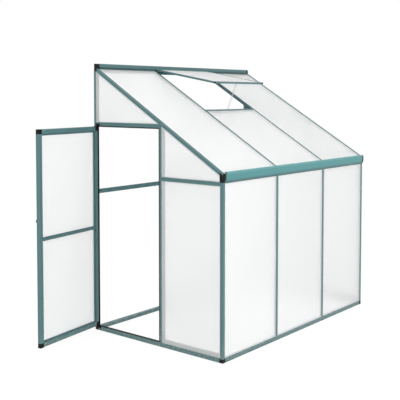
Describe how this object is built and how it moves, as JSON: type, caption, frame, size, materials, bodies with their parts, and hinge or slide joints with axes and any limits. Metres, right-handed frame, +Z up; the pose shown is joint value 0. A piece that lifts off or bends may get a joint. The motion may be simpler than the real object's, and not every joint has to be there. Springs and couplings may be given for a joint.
{
  "type": "lean-to greenhouse",
  "caption": "Lean-to garden greenhouse with a slim green frame, translucent twin-wall sheets, an open back, a hinged gable door and a propped roof vent.",
  "frame": {"origin": "on the ground at the middle of the wall line, on the rear face of the rear base rail", "axes": "+X along the wall to the right seen from the front, +Y into the wall, +Z up; the glazed front faces -Y"},
  "size_m": [2.5282, 1.212, 1.98],
  "materials": {
    "frame_green": "grey-green satin powder coat",
    "sheet": "frosted translucent twin-wall polycarbonate",
    "black_plastic": "black moulded plastic",
    "seal_rubber": "black rubber",
    "bare_metal": "zinc plated"
  },
  "bodies": {
    "frame": {"base_corner_blocks": "black_plastic", "corner_gussets": "frame_green", "door_pivots": "black_plastic", "door_seal": "seal_rubber", "door_washer": "black_plastic", "eave_gutter": "frame_green", "front_sheet_1": "sheet", "front_sheet_2": "sheet", "front_sheet_3": "sheet", "front_sill": "frame_green", "front_studs": "frame_green", "gable_rails": "frame_green", "gutter_end_caps": "black_plastic", "left_front_post": "frame_green", "left_gable_eave_sheet": "sheet", "left_gable_low_sheet": "sheet", "left_gable_rafter": "frame_green", "left_gable_top_sheet": "sheet", "left_header": "frame_green", "left_jamb_post": "frame_green", "left_rear_post": "frame_green", "left_sill": "frame_green", "middle_rafter_1": "frame_green", "middle_rafter_2": "frame_green", "peg_bracket": "bare_metal", "rear_rail": "frame_green", "rear_sill": "frame_green", "ridge_beam": "frame_green", "ridge_end_caps": "black_plastic", "right_front_post": "frame_green", "right_gable_bay_sheet": "sheet", "right_gable_eave_sheet": "sheet", "right_gable_low_sheet": "sheet", "right_gable_rafter": "frame_green", "right_gable_top_sheet": "sheet", "right_header": "frame_green", "right_jamb_post": "frame_green", "right_rear_post": "frame_green", "right_sill": "frame_green", "roof_sheet_1": "sheet", "roof_sheet_2": "sheet", "roof_sheet_3": "sheet", "stay_wing_nut": "black_plastic", "vent_sill": "frame_green"},
    "door": {"door_bottom_rail": "frame_green", "door_corner_blocks": "black_plastic", "door_free_stile": "frame_green", "door_hinge_stile": "frame_green", "door_knob": "black_plastic", "door_lower_sheet": "sheet", "door_mid_rail": "frame_green", "door_top_rail": "frame_green", "door_upper_sheet": "sheet"},
    "vent": {"vent_top_bar": "frame_green", "vent_bottom_bar": "frame_green", "vent_side_bars": "frame_green", "vent_sheet": "sheet", "stay_bracket": "bare_metal"},
    "stay": {"vent_stay": "bare_metal"}
  },
  "joints": [
    {"name": "door_hinge", "type": "hinge", "parent": "frame", "child": "door", "pos_m": [-0.96, -0.034, 0.036], "axis": [0, 0, 1], "range_deg": [-5, 82]},
    {"name": "vent_hinge", "type": "hinge", "parent": "frame", "child": "vent", "pos_m": [0, -0.038, 1.95087], "axis": [-1, 0, 0], "range_deg": [-21, 4]},
    {"name": "stay_pivot", "type": "hinge", "parent": "vent", "child": "stay", "pos_m": [0, -0.60157, 1.84337], "axis": [-1, 0, 0], "range_deg": [-2, 10.5]}
  ],
  "couplings": [
    {"joint": "stay_pivot", "follows": "vent_hinge", "ratio": -0.5}
  ]
}
